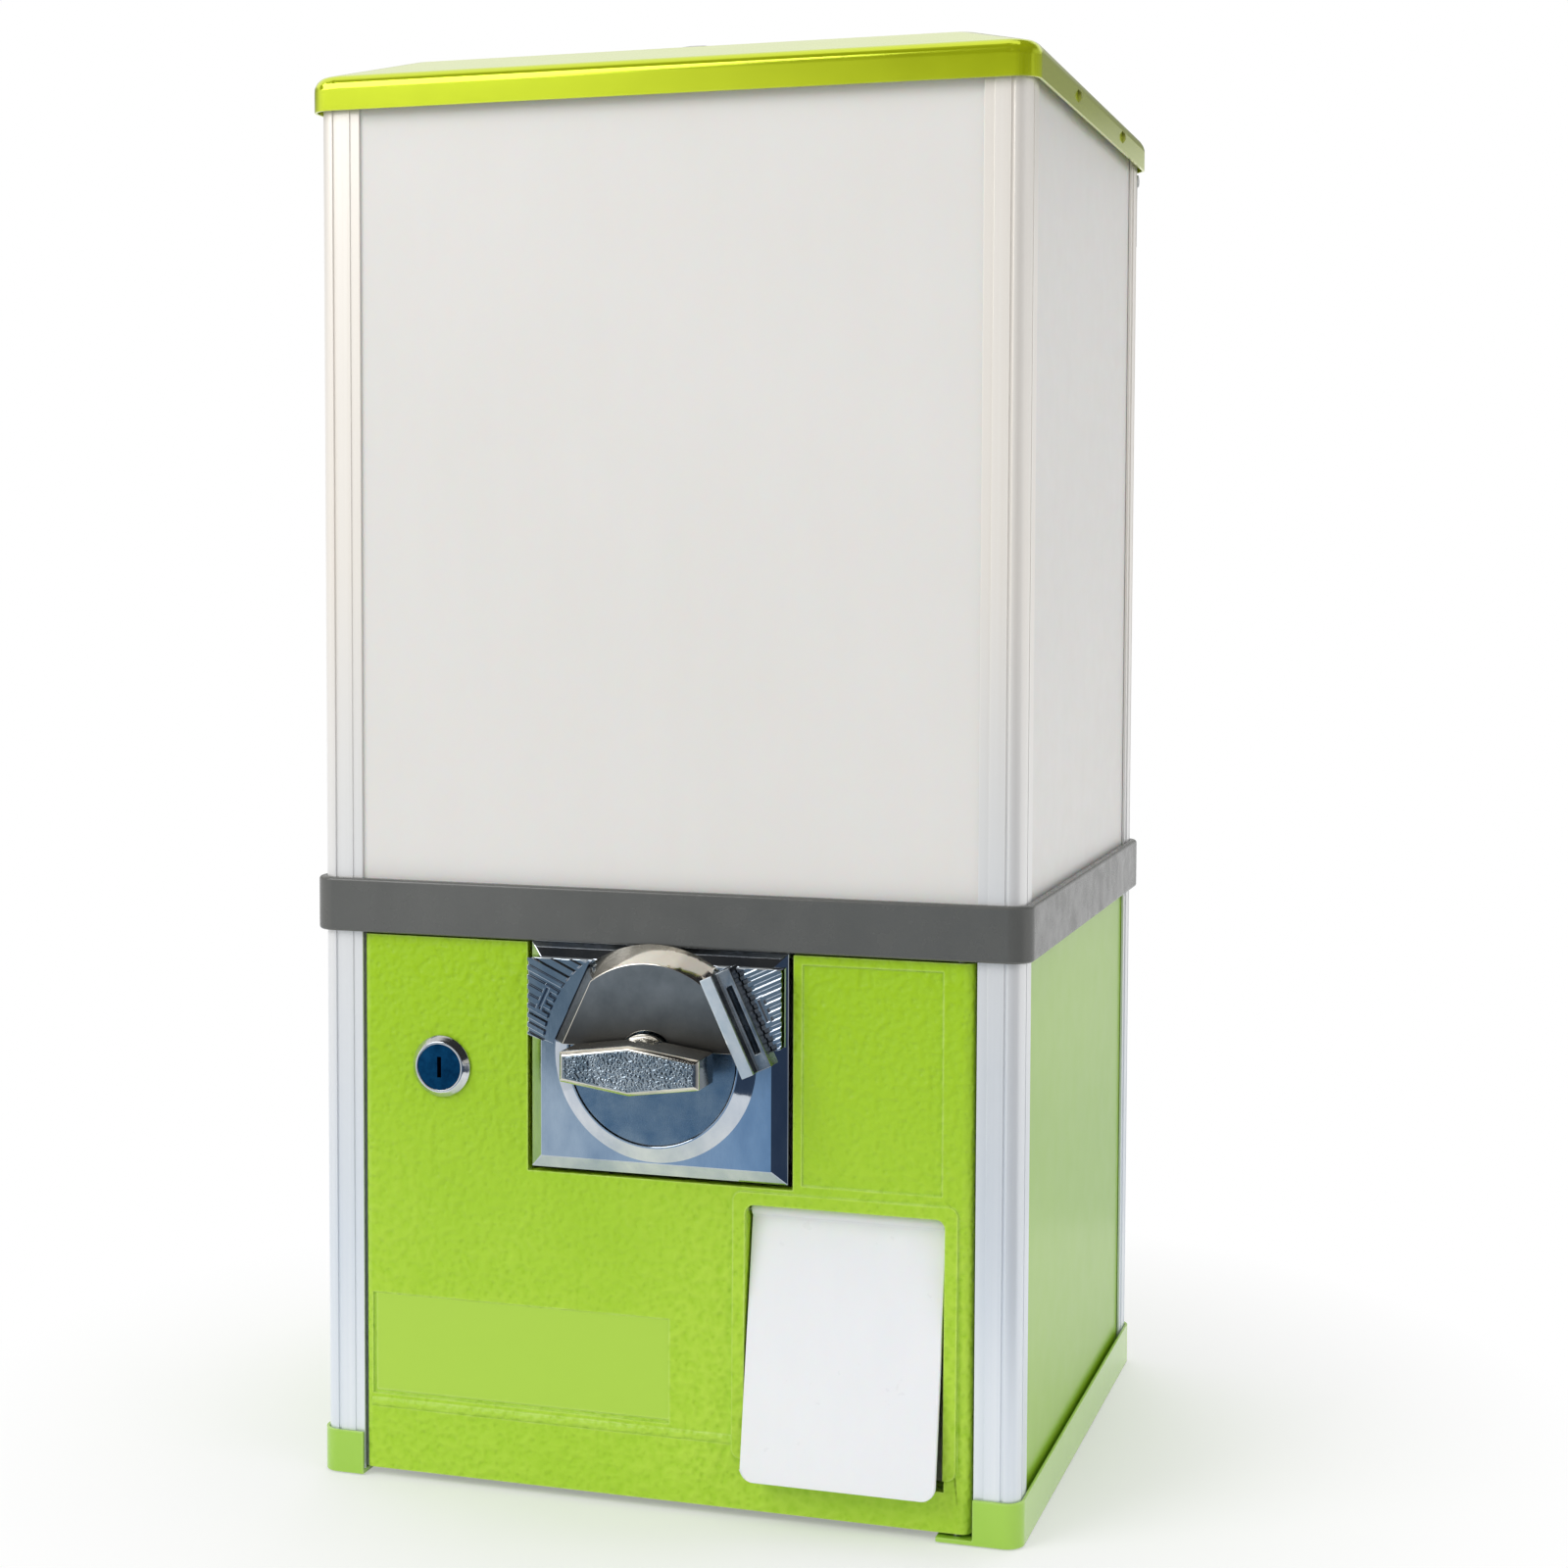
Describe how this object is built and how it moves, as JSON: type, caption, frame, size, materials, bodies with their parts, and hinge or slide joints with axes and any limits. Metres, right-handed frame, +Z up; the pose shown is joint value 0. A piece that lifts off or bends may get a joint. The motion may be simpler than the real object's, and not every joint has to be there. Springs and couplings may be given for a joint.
{
  "type": "gumball machine",
  "caption": "Free-standing vending cabinet: hopper with milky panels and hinged lid, coin mechanism with turn handle, geared dispensing wheel, chute, lockable front door and delivery flap.",
  "frame": {"origin": "middle of the base tray's underside, between the four corner posts", "axes": "+Z up, +X to the right and +Y to the back as seen from the front"},
  "size_m": [0.3224, 0.313, 0.625],
  "materials": {
    "lid_paint": "satin powder coat",
    "tray_paint": "satin powder coat",
    "panel_paint": "smooth satin paint",
    "door_green": "fine hammered texture",
    "post_aluminium": "satin anodised",
    "window_sheet": "milky translucent sheet",
    "band_plastic": "fine grain",
    "flap_plastic": "smooth white",
    "mech_chrome": "plated zinc casting",
    "lock_chrome": "polished",
    "lock_face": "dark plated face",
    "zinc_steel": "zinc plated",
    "bright_steel": "turned",
    "cast_housing": "as cast",
    "inner_plastic": "moulded",
    "wheel_plastic": "moulded",
    "gear_plastic": "moulded"
  },
  "bodies": {
    "cabinet": {"base_screws": "bright_steel", "base_tray": "tray_paint", "coin_box": "inner_plastic", "coin_hood": "mech_chrome", "coin_slot": "mech_chrome", "corner_post_front_left": "post_aluminium", "corner_post_front_right": "post_aluminium", "corner_post_rear_left": "post_aluminium", "corner_post_rear_right": "post_aluminium", "delivery_chute": "inner_plastic", "hopper_deck": "inner_plastic", "hopper_funnel": "inner_plastic", "idler_stud": "bright_steel", "lid_hinge_fixed_leaves": "zinc_steel", "lid_hinge_pins": "bright_steel", "lower_panel_left": "panel_paint", "lower_panel_rear": "panel_paint", "lower_panel_right": "panel_paint", "mech_brackets": "zinc_steel", "mech_housing": "cast_housing", "mech_plate": "mech_chrome", "mech_screws": "bright_steel", "mid_band": "band_plastic", "outlet_guard": "wheel_plastic", "pawl_pin": "bright_steel", "top_frame": "zinc_steel", "top_frame_screws": "bright_steel", "wheel_axle": "bright_steel", "window_front": "window_sheet", "window_left": "window_sheet", "window_rear": "window_sheet", "window_right": "window_sheet"},
    "door": {"front_door": "door_green", "door_hinge_pins": "bright_steel", "flap_pin": "bright_steel", "door_lock_housing": "lock_chrome", "door_lock_nut": "zinc_steel"},
    "door_lock": {"door_lock_plug": "lock_face", "door_lock_cam": "zinc_steel", "door_lock_cam_screw": "bright_steel"},
    "flap": {"delivery_flap": "flap_plastic"},
    "lid": {"lid": "lid_paint", "lid_stiffeners": "zinc_steel", "lid_rivets": "lid_paint", "lid_hinge_moving_leaves": "zinc_steel", "lid_lock_housing": "lock_chrome", "lid_lock_nut": "zinc_steel"},
    "lid_lock": {"lid_lock_plug": "lock_face", "lid_lock_cam": "zinc_steel", "lid_lock_cam_screw": "bright_steel"},
    "knob": {"coin_dial": "mech_chrome", "turn_handle": "mech_chrome", "handle_pin": "bright_steel", "drive_shaft": "bright_steel", "ratchet_wheel": "zinc_steel", "drive_pinion": "gear_plastic"},
    "idler": {"idler_gear": "gear_plastic"},
    "wheel": {"dispensing_wheel": "wheel_plastic", "agitator_cap": "wheel_plastic"},
    "pawl": {"ratchet_pawl": "zinc_steel"}
  },
  "joints": [
    {"name": "door_hinge", "type": "hinge", "parent": "cabinet", "child": "door", "pos_m": [0.13, -0.129, 0.12], "axis": [0, 0, 1], "range_deg": [0, 90]},
    {"name": "door_lock_turn", "type": "hinge", "parent": "door", "child": "door_lock", "pos_m": [-0.0995, -0.1335, 0.1843], "axis": [0, 1, 0], "range_deg": [0, 90]},
    {"name": "flap_hinge", "type": "hinge", "parent": "door", "child": "flap", "pos_m": [0.082, -0.1255, 0.131], "axis": [-1, 0, 0], "range_deg": [0, 70]},
    {"name": "lid_hinge", "type": "hinge", "parent": "cabinet", "child": "lid", "pos_m": [0, 0.139, 0.593], "axis": [-1, 0, 0], "range_deg": [0, 100]},
    {"name": "lid_lock_turn", "type": "hinge", "parent": "lid", "child": "lid_lock", "pos_m": [0, -0.079, 0.6215], "axis": [0, 0, -1], "range_deg": [0, 90]},
    {"name": "handle_turn", "type": "hinge", "parent": "cabinet", "child": "knob", "pos_m": [0, -0.15, 0.195], "axis": [0, 1, 0], "continuous": true},
    {"name": "idler_spin", "type": "hinge", "parent": "cabinet", "child": "idler", "pos_m": [0, -0.085, 0.235], "axis": [0, 1, 0], "continuous": true},
    {"name": "wheel_spin", "type": "hinge", "parent": "cabinet", "child": "wheel", "pos_m": [0, 0.015, 0.265], "axis": [0, 0, 1], "continuous": true},
    {"name": "pawl_swing", "type": "hinge", "parent": "cabinet", "child": "pawl", "pos_m": [0.01909, -0.095, 0.21409], "axis": [0, 1, 0], "range_deg": [0, 5]}
  ],
  "couplings": [
    {"joint": "idler_spin", "follows": "handle_turn", "ratio": -1},
    {"joint": "wheel_spin", "follows": "handle_turn", "ratio": -0.2}
  ]
}
